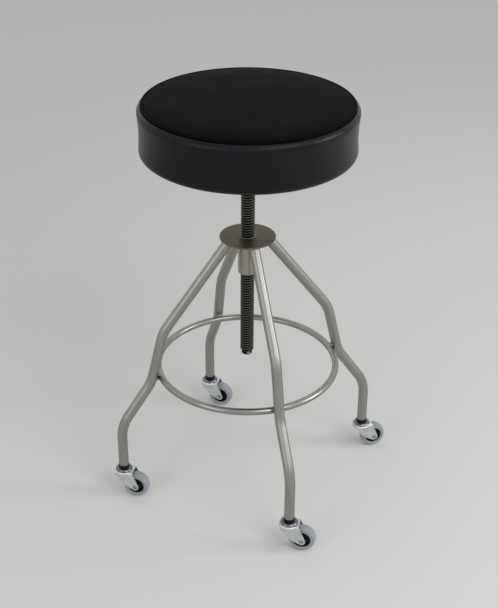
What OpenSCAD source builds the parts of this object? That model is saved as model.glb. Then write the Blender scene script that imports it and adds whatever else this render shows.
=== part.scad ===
// Medical exam stool: padded round seat on a lift screw, four bent tube legs, foot ring and casters.
// Millimetres, Z up, floor at z = 0, stool axis at the origin, front leg toward -Y.

/* [Seat] */
// Diameter over the widest part of the cushion
seat_d = 383; // [300:1:450]
// Height of the seat's underside above the floor, as photographed
seat_bottom_z = 683; // [600:1:760]
// Height of the cushion from its underside to the crown
seat_h = 94; // [60:1:130]
// How far the top panel rises from the seam to the centre
seat_crown = 3.4; // [1:0.1:12]
// How far the side wall draws in at mid height
side_draw = 2; // [0:0.5:5]
// Radius of the boxing's upper shoulder
shoulder_r = 10.5; // [5:0.5:16]
// Radius of the lower edge
bottom_edge_r = 10; // [5:0.5:16]
// Distance from the cushion's edge in to the seam
seam_inset = 9.5; // [6:0.5:20]
// Diameter of the welt in the seam
welt_d = 4.8; // [3:0.2:7]
// Thickness of the vinyl cover
cover_t = 1.2; // [0.8:0.1:2]
// Thickness of the plywood board
board_t = 16; // [9:1:25]
// Width of the cover turned under the board
turn_under_w = 34; // [20:1:50]
// Thickness of the dust cover
dust_t = 0.5; // [0.3:0.1:1]

/* [Lift screw] */
// Outer diameter of the thread
screw_d = 25.4; // [16:0.1:38]
// Lift of one full turn
screw_pitch = 5.08; // [3:0.01:8]
// Depth of the thread
thread_depth = 2.8; // [1.5:0.1:4]
// Angle of each flank
flank_angle = 14.5; // [10:0.5:30]
// Height of the screw's lower end above the floor, as photographed
screw_foot_z = 273.6; // [150:0.1:400]
// Plain length of the screw below the thread
screw_foot_h = 6.4; // [4:0.2:15]
// Diameter of the stop pin through the foot
stop_pin_d = 5.6; // [3:0.1:8]
// Length of the stop pin
stop_pin_l = 33; // [30:0.5:40]
// Direction of the stop pin, seen from above
stop_pin_turn = -95; // [-180:1:180]

/* [Seat flange] */
// Diameter of the flange plate
flange_d = 127; // [100:1:160]
// Thickness of the flange plate
flange_t = 3; // [2:0.5:6]
// Diameter of the collar round the screw
collar_d = 38; // [32:0.5:50]
// Length of the collar below the plate
collar_h = 16; // [8:0.5:30]
// Bolt circle of the four flange screws
flange_bolt_circle = 102; // [80:1:130]
// Shank diameter of the flange screws
flange_screw_d = 4.8; // [3:0.1:7]
// Thickness of the bumper washer
bumper_t = 4; // [2:0.5:8]

/* [Hub] */
// Diameter of the hub plate
hub_d = 101.6; // [90:0.1:130]
// Thickness of the hub plate
hub_t = 3.2; // [2:0.1:6]
// Height of the hub plate's top above the floor
hub_top_z = 520.8; // [450:0.1:600]
// Outer diameter of the nut sleeve
sleeve_d = 35; // [33:0.5:45]
// Length of the nut sleeve
sleeve_h = 73; // [45:1:100]
// Wall of the nut sleeve
sleeve_wall = 2.4; // [1.5:0.1:3]
// Length of the nut inside the sleeve
nut_h = 38; // [25:1:60]
// Height of the nut above the hub plate
nut_lip_t = 1.2; // [0.8:0.1:4]

/* [Legs] */
// Outer diameter of the leg tube
tube_d = 19.05; // [16:0.05:25.4]
// Wall of the leg tube
tube_wall = 1.65; // [1:0.05:2.5]
// Radius of the tube's bends, to its centreline
bend_r = 80; // [50:1:110]
// Height of the leg's lower end
leg_foot_z = 68; // [60:0.1:90]
// Distance of the casters from the stool's axis
leg_foot_r = 248.4; // [200:0.1:300]
// Bend above the caster: height
ankle_z = 156.2; // [120:0.1:190]
// Bend at the foot ring: distance from the axis
knee_r = 187.2; // [160:0.1:220]
// Bend at the foot ring: height
knee_z = 243.7; // [215:0.1:270]
// Upper bend: distance from the axis
hip_r = 162.7; // [130:0.1:180]
// Upper bend: height
hip_z = 345.7; // [310:0.1:380]
// Where the leg's centreline meets the plane of the hub plate's top
leg_top_r = 30.4; // [28:0.1:34]

/* [Foot ring] */
// Diameter of the ring's rod
ring_rod_d = 12.7; // [8:0.1:19]
// Height of the rod's centre
ring_z = 252.6; // [240:0.1:275]
// Radius of the weld beads
weld_r = 2.4; // [1.5:0.1:4]
// Length of each bead beside the ring
weld_l = 9; // [5:0.5:14]

/* [Casters] */
// Wheel diameter
wheel_d = 50.8; // [40:0.1:60]
// Wheel width over the tyre
wheel_w = 18.8; // [14:0.1:24]
// Diameter of the open face of the wheel core
core_face_d = 32.6; // [24:0.1:38]
// Distance from the swivel axis to the axle
trail = 24.8; // [15:0.1:30]
// Thickness of the fork's sheet
fork_t = 2; // [1.5:0.1:3]
// Inner width between the fork's ears
fork_gap = 25; // [22:0.1:28]
// Diameter of the fork's crown
crown_d = 37; // [35:0.1:42]
// Reach of the crown past the swivel axis, over the wheel
crown_reach = 19.8; // [19:0.1:26]
// Depth of the skirt round the crown
crown_skirt = 6.2; // [4:0.1:7]
// Depth of the wall that draws in from the skirt to the ears
crown_flare = 15; // [8:0.5:18]
// Gap between the wheel and the underside of the crown
crown_gap = 4.4; // [2:0.1:6]
// Radius of the ear round the axle
ear_tip_r = 7.2; // [5:0.1:9]
// Reach of the ear's leading edge before the swivel axis
ear_front = 14; // [10:0.1:16]
// Radius of the ear's bulging leading edge
ear_edge_r = 73; // [60:1:120]
// Diameter of the axle rivet
axle_d = 6.35; // [5:0.05:8]
// Diameter of the axle rivet's heads
axle_head_d = 8.6; // [8.5:0.1:12]
// Diameter of the raceway cap
race_d = 32; // [28:0.1:33]
// Height of the raceway cap
race_h = 3.2; // [2.5:0.1:4]
// Radius of the cap's rounding
race_bend = 6; // [4.5:0.1:8]
// Number of balls in the race
ball_count = 14; // [8:1:18]
// Diameter of the stem
stem_d = 11.1; // [8:0.1:12]
// Length of the stem above the raceway
stem_h = 24; // [15:1:35]
// Diameter of the socket's flange
socket_flange_d = 20.4; // [19.6:0.1:24]
// Thickness of the socket's flange
socket_flange_t = 6.5; // [3:0.1:8]
// Swivel of the front caster, as photographed
caster_front_turn = -27.8; // [-180:0.1:180]
// Swivel of the right caster
caster_right_turn = -0.8; // [-180:0.1:180]
// Swivel of the back caster
caster_back_turn = -34.7; // [-180:0.1:180]
// Swivel of the left caster
caster_left_turn = -31.8; // [-180:0.1:180]

/* [Clearances] */
// Play of the nut on the screw, along the axis and in radius
thread_play = 0.2; // [0.1:0.05:0.4]
// Gap between parts that are pressed, glued or welded together
seat_gap = 0.05; // [0.02:0.01:0.1]
// Radial play of a part that turns
run_gap = 0.1; // [0.05:0.05:0.2]
// Gap between faces that pass each other
face_gap = 0.3; // [0.2:0.1:1]

/* [Hidden] */
$fn = 64;
thread_steps = 16;
bend_gap = 0.2;
bend_swell = 0.05;
seat_top_z = seat_bottom_z + seat_h;
seat_r = seat_d / 2;
seam_r = seat_r - seam_inset;
panel_edge_r = seam_r - welt_d / 2 - 0.1;
seam_z = seat_top_z - seat_crown - welt_d / 2 - 0.6;
shoulder_top_z = seam_z + welt_d / 2 - 1.2;
board_z = seat_bottom_z + cover_t;
board_r = seat_r - 1 - bottom_edge_r;
tuck_r = seat_r - turn_under_w;
flange_z = board_z - flange_t;
collar_z = flange_z - collar_h;
bumper_z = collar_z - seat_gap - bumper_t;
screw_r = screw_d / 2;
root_r = screw_r - thread_depth;
flank_h = thread_depth * tan(flank_angle);
crest_h = (screw_pitch - 2 * flank_h) / 2 + 0.06;
root_h = screw_pitch - 2 * flank_h - crest_h;
screw_len = board_z - screw_foot_z;
thread_turns = floor((collar_z - screw_foot_z - screw_foot_h - 2) / screw_pitch) - 1;
stop_pin_z = screw_foot_z + screw_foot_h - 0.4;
sleeve_r = sleeve_d / 2;
nut_r = sleeve_r - sleeve_wall - seat_gap;
hub_under_z = hub_top_z - hub_t;
tube_r = tube_d / 2;
ring_rod_r = ring_rod_d / 2;
leg_line = [[leg_foot_r, leg_foot_z], [leg_foot_r, ankle_z], [knee_r, knee_z],
            [hip_r, hip_z], [leg_top_r, hub_top_z]];
knee_c = bend_centre(leg_line, 2);
ring_r = knee_c[0] - sqrt(pow(bend_r + tube_r + ring_rod_r + seat_gap, 2) - pow(ring_z - knee_c[1], 2));
wheel_r = wheel_d / 2;
crown_r = crown_d / 2;
crown_z = wheel_d + crown_gap;
crown_top_z = crown_z + fork_t;
race_z = leg_foot_z - socket_flange_t - seat_gap;
race_wall = 1.1;
race_c = [race_d / 2 - sqrt(race_h * (2 * race_bend - race_h)), race_z - race_bend];
ball_r = (race_z - race_wall - face_gap - crown_top_z - seat_gap) / 2;
ball_z = crown_top_z + ball_r + seat_gap;
ball_path_r = race_c[0];
stem_r = stem_d / 2;
caster_head_z = crown_z - face_gap;
groove_z = race_z + stem_h * 0.72;
axle_r = axle_d / 2;
fork_half = fork_gap / 2 + fork_t;
core_rim_r = core_face_d / 2 + 1.7;
core_rim_w = wheel_w - 4;
turns = [-90, 0, 90, 180];
caster_turns = [caster_front_turn, caster_right_turn, caster_back_turn, caster_left_turn];

// Directions and bends of a line of points in a plane
function heading(a, b) = (b - a) / norm(b - a);
function cross2(a, b) = a[0] * b[1] - a[1] * b[0];
function turn_at(p, i) = atan2(cross2(heading(p[i - 1], p[i]), heading(p[i], p[i + 1])),
                               heading(p[i - 1], p[i]) * heading(p[i], p[i + 1]));
function cut_at(p, i) = (i == 0 || i == len(p) - 1) ? 0 : bend_r * tan(abs(turn_at(p, i)) / 2);
function left_of(d) = [-d[1], d[0]];
function bend_centre(p, i) = p[i] - cut_at(p, i) * heading(p[i - 1], p[i])
                           + sign(turn_at(p, i)) * bend_r * left_of(heading(p[i - 1], p[i]));
function arc(c, r, from, to, n) = [for (i = [0:n]) c + r * [cos(from + (to - from) * i / n),
                                                            sin(from + (to - from) * i / n)]];
function tangent_point(p, c, r, side) = let (d = norm(c - p), a = atan2(c[1] - p[1], c[0] - p[0])
    + side * asin(r / d)) p + sqrt(d * d - r * r) * [cos(a), sin(a)];

// Cushion outline: height of the top panel at a radius, and the boxing's side from bottom to seam
function panel_z(r) = seat_top_z - seat_crown * (0.45 * pow(r / panel_edge_r, 2)
                    + 0.55 * pow(max(0, r / panel_edge_r - 0.8) / 0.2, 2));
function panel_line(inset) = [for (k = [0, 0.2, 0.4, 0.55, 0.7, 0.8, 0.85, 0.9, 0.94, 0.97, 1])
    [k * panel_edge_r, panel_z(k * panel_edge_r) - inset]];
function boxing_line(inset) = concat(
    arc([seat_r - 1 - bottom_edge_r, seat_bottom_z + bottom_edge_r], bottom_edge_r - inset, -90, 0, 6),
    [for (k = [1:5]) [seat_r - 1 + k / 6 - side_draw * sin(30 * k) - inset,
        seat_bottom_z + bottom_edge_r
        + (shoulder_top_z - shoulder_r - seat_bottom_z - bottom_edge_r) * k / 6]],
    arc([seat_r - shoulder_r, shoulder_top_z - shoulder_r], shoulder_r - inset, 0, 66, 6));

// A thread with its plain ends as one closed skin. grow widens it all round to cut the nut.
module threaded_rod(core_r, crest_r, foot, turns_up, length, grow) {
    n = turns_up * thread_steps;
    s = thread_steps;
    ramp = function(i) core_r + (crest_r - core_r) * min(1, min(i, n - i) / s * 1.5);
    row = function(i, r, up) [r * cos(360 * i / s), r * sin(360 * i / s),
                              foot + up + screw_pitch * i / s];
    a = [for (i = [0:n + s]) row(i, core_r, grow)];
    b = [for (i = [0:n]) row(i, core_r, root_h - grow)];
    c = [for (i = [0:n]) row(i, ramp(i), root_h + flank_h - grow)];
    d = [for (i = [0:n]) row(i, ramp(i), root_h + flank_h + crest_h + grow)];
    foot_ring_pts = [for (k = [0:s - 1]) [core_r * cos(360 * k / s), core_r * sin(360 * k / s), 0]];
    head_ring_pts = [for (k = [0:s - 1]) [core_r * cos(360 * k / s), core_r * sin(360 * k / s), length]];
    na = len(a);
    nb = na + len(b);
    nc = nb + len(c);
    nd = nc + len(d);
    nf = nd + s;
    quads = [for (i = [0:n - 1]) each [
        [i, i + 1, na + i + 1, na + i],
        [na + i, na + i + 1, nb + i + 1, nb + i],
        [nb + i, nb + i + 1, nc + i + 1, nc + i],
        [nc + i, nc + i + 1, i + s + 1, i + s]]];
    faces = concat(
        [for (q = quads) each [[q[0], q[2], q[1]], [q[0], q[3], q[2]]]],
        [for (k = [0:s - 2]) each [[nd + k, k + 1, nd + k + 1], [nd + k, k, k + 1]]],
        [[nf - 1, 0, nd], [nf - 1, na, 0], [nf - 1, nb, na], [nf - 1, nc, nb],
         [nf - 1, s, nc], [nf - 1, s - 1, s]],
        [for (k = [1:s - 1]) each [[n + k, nf + (k + 1) % s, n + k + 1], [n + k, nf + k, nf + (k + 1) % s]]],
        [[n + 1, nf, nf + 1], [n + 1, n + s, nf], [n + 1, nc + n, n + s], [n + 1, nb + n, nc + n],
         [n + 1, na + n, nb + n], [n + 1, n, na + n]],
        [for (k = [1:s - 2]) [nd, nd + k, nd + k + 1]],
        [for (k = [1:s - 2]) [nf, nf + k + 1, nf + k]]);
    polyhedron(concat(a, b, c, d, foot_ring_pts, head_ring_pts), faces);
}

module lift_screw() {
    color([0.42, 0.42, 0.40])
    translate([0, 0, screw_foot_z])
    difference() {
        threaded_rod(root_r, screw_r, screw_foot_h, thread_turns, screw_len, 0);
        translate([0, 0, stop_pin_z - screw_foot_z])
        rotate([0, 90, stop_pin_turn])
        cylinder(d = stop_pin_d + 2 * seat_gap, h = screw_d + 2, center = true);
    }
}

module stop_pin() {
    color([0.75, 0.75, 0.73])
    translate([0, 0, stop_pin_z])
    rotate([0, 90, stop_pin_turn])
    difference() {
        cylinder(d = stop_pin_d, h = stop_pin_l, center = true);
        cylinder(d = stop_pin_d - 2.2, h = stop_pin_l + 1, center = true);
        translate([0, stop_pin_d / 2, 0])
        cube([0.8, stop_pin_d, stop_pin_l + 1], center = true);
    }
}

module seat_flange() {
    color([0.5, 0.51, 0.5])
    difference() {
        rotate_extrude()
        polygon([[root_r + seat_gap, collar_z], [collar_d / 2 - 1, collar_z], [collar_d / 2, collar_z + 1],
                 [collar_d / 2, flange_z - 2.5], [collar_d / 2 + 2.5, flange_z],
                 [flange_d / 2, flange_z], [flange_d / 2, board_z], [root_r + seat_gap, board_z]]);
        at_flange_screws()
        cylinder(d = flange_screw_d + 2 * seat_gap, h = 3 * flange_t, center = true);
    }
}

module at_flange_screws() {
    for (a = [45:90:315])
        rotate([0, 0, a])
        translate([flange_bolt_circle / 2, 0, flange_z])
        children();
}

module flange_screws() {
    color([0.7, 0.7, 0.68])
    at_flange_screws()
    rotate_extrude()
    polygon([[0, -3], [2.4, -3], [3.9, -2.2], [4.6, -seat_gap], [flange_screw_d / 2, -seat_gap],
             [flange_screw_d / 2, flange_t + board_t - 4], [0, flange_t + board_t - 2.5]]);
}

module bumper_washer() {
    color([0.12, 0.12, 0.12])
    translate([0, 0, bumper_z])
    difference() {
        cylinder(d = collar_d, h = bumper_t);
        translate([0, 0, -1])
        cylinder(r = screw_r + face_gap, h = bumper_t + 2);
    }
}

module seat_board() {
    color([0.72, 0.58, 0.4])
    difference() {
        translate([0, 0, board_z])
        cylinder(r = board_r, h = board_t, $fn = 128);
        at_flange_screws()
        cylinder(d = flange_screw_d + 2 * seat_gap, h = flange_t + board_t - 2);
    }
}

module seat_foam() {
    gap = cover_t + seat_gap;
    side = boxing_line(gap);
    top = panel_line(gap);
    color([0.85, 0.8, 0.55])
    rotate_extrude($fn = 128)
    polygon(concat(
        [[0, board_z + board_t + seat_gap], [board_r + seat_gap, board_z + board_t + seat_gap],
         [board_r + seat_gap, side[1][1]]],
        [for (i = [1:len(side) - 1]) side[i]],
        [[seam_r + welt_d / 2, seam_z - welt_d / 2 - seat_gap],
         [panel_edge_r, seam_z - welt_d / 2 - seat_gap]],
        [for (i = [len(top) - 1:-1:0]) top[i]]));
}

module seat_top_panel() {
    top = panel_line(0);
    under = panel_line(cover_t);
    color([0.12, 0.12, 0.13])
    rotate_extrude($fn = 128)
    polygon(concat(top, [for (i = [len(under) - 1:-1:0]) under[i]]));
}

module seat_boxing() {
    outside = boxing_line(0);
    inside = boxing_line(cover_t);
    color([0.14, 0.14, 0.16])
    rotate_extrude($fn = 128)
    polygon(concat([[tuck_r, seat_bottom_z]], outside, [for (i = [len(inside) - 1:-1:0]) inside[i]],
                   [[tuck_r, board_z]]));
}

module seat_welt() {
    color([0.1, 0.1, 0.11])
    translate([0, 0, seam_z])
    rotate_extrude($fn = 128)
    translate([seam_r, 0])
    circle(d = welt_d);
}

module dust_cover() {
    color([0.1, 0.1, 0.1])
    translate([0, 0, seat_bottom_z - dust_t])
    difference() {
        cylinder(r = tuck_r + 14, h = dust_t, $fn = 128);
        translate([0, 0, -1])
        cylinder(d = flange_d + 8, h = dust_t + 2);
    }
}

module hub_plate() {
    color([0.62, 0.61, 0.56])
    rotate_extrude($fn = 128)
    polygon([[sleeve_r + seat_gap, hub_under_z], [hub_d / 2 - 0.6, hub_under_z],
             [hub_d / 2, hub_under_z + 0.6], [hub_d / 2, hub_top_z - 0.6],
             [hub_d / 2 - 0.6, hub_top_z], [sleeve_r + seat_gap, hub_top_z]]);
}

module nut_sleeve() {
    bottom = hub_top_z - sleeve_h;
    color([0.6, 0.6, 0.58])
    rotate_extrude()
    polygon([[sleeve_r - sleeve_wall, bottom], [sleeve_r - 1, bottom], [sleeve_r, bottom + 1],
             [sleeve_r, hub_top_z], [sleeve_r - sleeve_wall, hub_top_z]]);
}

module lift_nut() {
    lip_z = hub_top_z + seat_gap;
    bottom = lip_z - nut_h;
    wide = 1 / cos(180 / thread_steps);
    pitches = floor((bottom - screw_foot_z - screw_foot_h) / screw_pitch) - 2;
    reach = ceil(nut_h / screw_pitch) + 4;
    color([0.75, 0.62, 0.35])
    difference() {
        rotate_extrude()
        polygon([[root_r - 2, bottom], [nut_r - 0.8, bottom], [nut_r, bottom + 0.8],
                 [nut_r, lip_z + nut_lip_t - 0.6], [nut_r - 0.6, lip_z + nut_lip_t],
                 [root_r - 2, lip_z + nut_lip_t]]);
        translate([0, 0, screw_foot_z + screw_pitch * pitches])
        threaded_rod((root_r + thread_play) * wide, (screw_r + thread_play) * wide, screw_foot_h,
                     reach, screw_foot_h + (reach + 1) * screw_pitch + 4, thread_play);
    }
}

// Rod along a line of points in the XZ plane. A sleeve a hair wider closes each straight onto its bends.
module bent_rod(p, before, after, r) {
    last = len(p) - 1;
    for (i = [0:last - 1]) {
        d = heading(p[i], p[i + 1]);
        from = p[i] + (i == 0 ? -before : cut_at(p, i) + bend_gap) * d;
        to = p[i + 1] + (i == last - 1 ? after : -cut_at(p, i + 1) - bend_gap) * d;
        translate([from[0], 0, from[1]])
        rotate([0, atan2(d[0], d[1]), 0]) {
            cylinder(r = r, h = norm(to - from));
            if (i > 0)
                bend_sleeve(r);
            if (i < last - 1)
                translate([0, 0, norm(to - from)])
                bend_sleeve(r);
        }
    }
    for (i = [1:last - 1]) {
        c = bend_centre(p, i);
        a = p[i] - cut_at(p, i) * heading(p[i - 1], p[i]) - c;
        b = p[i] + cut_at(p, i) * heading(p[i], p[i + 1]) - c;
        first = turn_at(p, i) > 0 ? a : b;
        translate([c[0], 0, c[1]])
        rotate([90, 0, 0])
        rotate([0, 0, atan2(first[1], first[0])])
        rotate_extrude(angle = abs(turn_at(p, i)), $fn = 160)
        translate([bend_r, 0])
        circle(r = r);
    }
}

module bend_sleeve(r) {
    rotate_extrude()
    polygon([[0, -3], [r - 0.1, -3], [r + bend_swell, -1], [r + bend_swell, 1], [r - 0.1, 3], [0, 3]]);
}

module leg(turn) {
    color([0.72, 0.72, 0.7])
    rotate([0, 0, turn])
    difference() {
        bent_rod(leg_line, 0, tube_d, tube_r);
        bent_rod(leg_line, 1, tube_d + 1, tube_r - tube_wall);
        translate([0, -tube_d, hub_under_z - seat_gap])
        cube([leg_top_r + 2 * tube_d, 2 * tube_d, 3 * tube_d]);
        translate([0, 0, hub_top_z - sleeve_h])
        cylinder(r = sleeve_r + seat_gap, h = sleeve_h + 1);
    }
}

module foot_ring() {
    color([0.72, 0.72, 0.7])
    translate([0, 0, ring_z])
    rotate_extrude($fn = 160)
    translate([ring_r, 0])
    circle(r = ring_rod_r);
}

// Point above or below the line between two circles' centres where both circles meet
function meeting(c0, r0, c1, r1, side) = let (d = norm(c1 - c0), u = heading(c0, c1),
    a = (r0 * r0 - r1 * r1 + d * d) / (2 * d)) c0 + a * u + side * sqrt(r0 * r0 - a * a) * left_of(u);

module ring_welds() {
    u = heading(knee_c, [ring_r, ring_z]);
    along = left_of(u);
    touch = knee_c + bend_r * u;
    color([0.55, 0.55, 0.53])
    for (turn = turns, side = [-1, 1]) {
        m = meeting(knee_c, bend_r + tube_r + weld_r / 3, [ring_r, ring_z], ring_rod_r + weld_r / 3, side);
        rotate([0, 0, turn])
        difference() {
            translate([m[0], 0, m[1]]) {
                rotate([90, 0, 0])
                cylinder(r = weld_r, h = weld_l, center = true);
                for (end = [-1, 1])
                    rotate([end * 90, 0, 0])
                    translate([0, 0, weld_l / 2])
                    cylinder(r1 = weld_r, r2 = weld_r / 2, h = weld_r * 0.7);
            }
            translate([touch[0], 0, touch[1]])
            rotate([0, atan2(along[0], along[1]), 0])
            cylinder(r = tube_r + seat_gap, h = 4 * weld_l, center = true);
            translate([ring_r, 0, ring_z])
            rotate([90, 0, 0])
            cylinder(r = ring_rod_r + seat_gap, h = 4 * weld_l, center = true);
        }
    }
}

module hub_welds() {
    d = heading(leg_line[3], leg_line[4]);
    from = leg_line[4] - d * (hub_t + seat_gap) / d[1];
    color([0.55, 0.55, 0.53])
    for (turn = turns)
        rotate([0, 0, turn])
        difference() {
            intersection() {
                translate([from[0], 0, from[1]])
                rotate([0, atan2(d[0], d[1]), 0])
                translate([0, 0, -9])
                cylinder(r1 = tube_r - 1, r2 = tube_r + 6, h = 16);
                translate([0, -2 * tube_d, hub_under_z - seat_gap - weld_r])
                cube([hub_d / 2 - 1, 4 * tube_d, weld_r]);
            }
            translate([from[0], 0, from[1]])
            rotate([0, atan2(d[0], d[1]), 0])
            cylinder(r = tube_r + seat_gap, h = 60, center = true);
            translate([0, 0, hub_top_z - sleeve_h])
            cylinder(r = sleeve_r + seat_gap, h = sleeve_h);
        }
}

module at_caster(i) {
    translate([leg_foot_r * cos(turns[i]), leg_foot_r * sin(turns[i]), 0])
    rotate([0, 0, caster_turns[i]])
    children();
}

module at_axle() {
    translate([trail, 0, wheel_r])
    rotate([90, 0, 0])
    children();
}

module caster_socket() {
    plug_r = tube_r - tube_wall - seat_gap;
    plug_z = race_z + stem_h + 3;
    color([0.2, 0.2, 0.2])
    rotate_extrude()
    polygon([[stem_r + seat_gap, race_z + seat_gap], [socket_flange_d / 2 - 0.6, race_z + seat_gap],
             [socket_flange_d / 2, race_z + 0.6], [socket_flange_d / 2, leg_foot_z - seat_gap],
             [plug_r, leg_foot_z - seat_gap], [plug_r, plug_z - 1], [plug_r - 1, plug_z],
             [0, plug_z], [0, plug_z - 2], [stem_r + seat_gap, plug_z - 2]]);
}

module caster_stem() {
    color([0.75, 0.76, 0.75])
    rotate_extrude()
    polygon([[0, caster_head_z - 2.6], [stem_r + 1.8, caster_head_z - 2.6],
             [stem_r + 2.8, caster_head_z - 1.6], [stem_r + 2.8, caster_head_z],
             [stem_r, caster_head_z], [stem_r, groove_z - 1.3], [stem_r - 1, groove_z - 1.3],
             [stem_r - 1, groove_z + 1.3], [stem_r, groove_z + 1.3],
             [stem_r, race_z + stem_h - 1.5], [stem_r - 1.5, race_z + stem_h], [0, race_z + stem_h]]);
}

// Split spring ring that holds the stem in its socket
module caster_grip() {
    color([0.6, 0.6, 0.58])
    translate([0, 0, groove_z])
    rotate([0, 0, 20])
    rotate_extrude(angle = 320)
    translate([stem_r - 1 + seat_gap, -1.2])
    square([1 - seat_gap, 2.4]);
}

module caster_race() {
    color([0.85, 0.85, 0.84])
    rotate_extrude() {
        difference() {
            intersection() {
                translate(race_c)
                circle(r = race_bend);
                translate([race_c[0], race_z - race_h])
                square(race_bend);
            }
            translate(race_c)
            circle(r = race_bend - race_wall);
        }
        translate([stem_r + seat_gap, race_z - race_wall])
        square([race_c[0] - stem_r - seat_gap, race_wall]);
    }
}

module fork_section() {
    bend = fork_t * 2;
    difference() {
        union() {
            translate([-fork_half, 0])
            square([2 * fork_half, crown_top_z - bend]);
            translate([bend - fork_half, 0])
            square([2 * (fork_half - bend), crown_top_z]);
            for (s = [-1, 1])
                translate([s * (fork_half - bend), crown_top_z - bend])
                circle(r = bend);
        }
        translate([-fork_gap / 2, -1])
        square([fork_gap, crown_top_z - bend + 1]);
        translate([bend - fork_half, -1])
        square([2 * (fork_half - bend), crown_z + 1]);
        for (s = [-1, 1])
            translate([s * (fork_half - bend), crown_top_z - bend])
            circle(r = bend - fork_t);
    }
}

// The ear seen from its side: an arc at the front, a straight edge over the wheel
module fork_side() {
    hub = [trail, wheel_r];
    front = [-ear_front, crown_z - 2.8 * fork_t];
    rear = [crown_reach, crown_z];
    edge_c = meeting(hub, ear_edge_r - ear_tip_r + 0.15, front, ear_edge_r, -1);
    intersection() {
        translate(edge_c)
        circle(r = ear_edge_r, $fn = 256);
        polygon([[front[0], crown_top_z + 1], [front[0], wheel_r - 2 * ear_tip_r],
                 hub + (ear_tip_r + 5) * heading(edge_c, hub), hub, tangent_point(rear, hub, ear_tip_r, 1),
                 rear, [rear[0], crown_top_z + 1]]);
    }
    translate(hub)
    circle(r = ear_tip_r);
}

// The crown's round edge and skirt, cut through its middle
module crown_section() {
    bend = fork_t * 1.8;
    low = crown_top_z - crown_skirt;
    difference() {
        union() {
            translate([0, low])
            square([crown_r, crown_skirt - bend]);
            translate([0, low])
            square([crown_r - bend, crown_skirt]);
            translate([crown_r - bend, crown_top_z - bend])
            circle(r = bend);
        }
        translate([-1, low - 1])
        square([crown_r - fork_t + 1, crown_skirt - bend + 1]);
        translate([-1, low - 1])
        square([crown_r - bend + 1, crown_skirt - fork_t + 1]);
        translate([crown_r - bend, crown_top_z - bend])
        circle(r = bend - fork_t);
    }
}

// The wall that draws in from the skirt to the ears, kept clear of the wheel
module fork_flare() {
    low = crown_top_z - crown_skirt;
    end_r = fork_half - 0.5;
    difference() {
        intersection() {
            rotate_extrude()
            polygon([[crown_r - fork_t, low + 0.5], [crown_r - 0.1, low + 0.5], [crown_r - 0.1, low],
                     [end_r, low - crown_flare], [end_r - fork_t, low - crown_flare],
                     [crown_r - fork_t, low]]);
            rotate([90, 0, 0])
            linear_extrude(2 * crown_d, center = true)
            fork_side();
        }
        translate([-crown_d, -fork_gap / 2 - 0.5, 0])
        cube([2 * crown_d, fork_gap + 1, crown_top_z]);
    }
}

module caster_fork() {
    color([0.78, 0.79, 0.78])
    difference() {
        union() {
            intersection() {
                translate([-crown_d, 0, 0])
                rotate([90, 0, 90])
                linear_extrude(2 * crown_d + trail)
                fork_section();
                rotate([90, 0, 0])
                linear_extrude(2 * crown_d, center = true)
                fork_side();
            }
            difference() {
                rotate_extrude()
                crown_section();
                translate([0, -fork_gap / 2, 0])
                cube([crown_d, fork_gap, crown_z]);
            }
            fork_flare();
        }
        translate([0, 0, crown_z - 1])
        cylinder(r = stem_r + run_gap, h = fork_t + 2);
        at_axle()
        cylinder(r = axle_r + seat_gap, h = 3 * fork_gap, center = true);
    }
}

module caster_balls() {
    color([0.8, 0.8, 0.8])
    for (k = [0:ball_count - 1])
        rotate([0, 0, 360 * k / ball_count])
        translate([ball_path_r, 0, ball_z])
        sphere(r = ball_r, $fn = 32);
}

// Rivet with a groove round the middle of each head
module caster_axle() {
    head = [[0, 1.3], [2, 1.3], [2.5, 1], [2.6, 0.3], [3.3, 0.3], [3.4, 0.9],
            [axle_head_d / 2 - 0.4, 0.9], [axle_head_d / 2, 0.5], [axle_head_d / 2, seat_gap],
            [axle_r, seat_gap]];
    color([0.75, 0.75, 0.73])
    at_axle()
    rotate_extrude()
    polygon([for (p = head) [p[0], fork_half + p[1]],
             for (k = [len(head) - 1:-1:0]) [head[k][0], -fork_half - head[k][1]]]);
}

module caster_core() {
    boss_w = fork_gap - 2 * face_gap;
    bore_r = axle_r + run_gap;
    color([0.08, 0.08, 0.08])
    at_axle()
    rotate_extrude()
    polygon([[bore_r, -boss_w / 2], [bore_r + 3, -boss_w / 2], [bore_r + 3.6, -3.5], [bore_r + 4.4, -2.7],
             [core_rim_r - 4.6, -2.7], [core_rim_r - 3.4, -core_rim_w / 2], [core_rim_r, -core_rim_w / 2],
             [core_rim_r, core_rim_w / 2], [core_rim_r - 3.4, core_rim_w / 2], [core_rim_r - 4.6, 2.7],
             [bore_r + 4.4, 2.7], [bore_r + 3.6, 3.5], [bore_r + 3, boss_w / 2], [bore_r, boss_w / 2]]);
}

module caster_tyre() {
    drop = 3;
    crown_r = (pow(wheel_w / 2, 2) + drop * drop) / (2 * drop);
    color([0.62, 0.64, 0.66])
    at_axle()
    rotate_extrude($fn = 96)
    difference() {
        intersection() {
            translate([wheel_r - crown_r, 0])
            circle(r = crown_r, $fn = 128);
            translate([core_face_d / 2, -wheel_w / 2])
            square([wheel_r, wheel_w]);
        }
        translate([core_face_d / 4, -core_rim_w / 2 - seat_gap])
        square([core_rim_r + seat_gap - core_face_d / 4, core_rim_w + 2 * seat_gap]);
    }
}

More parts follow.
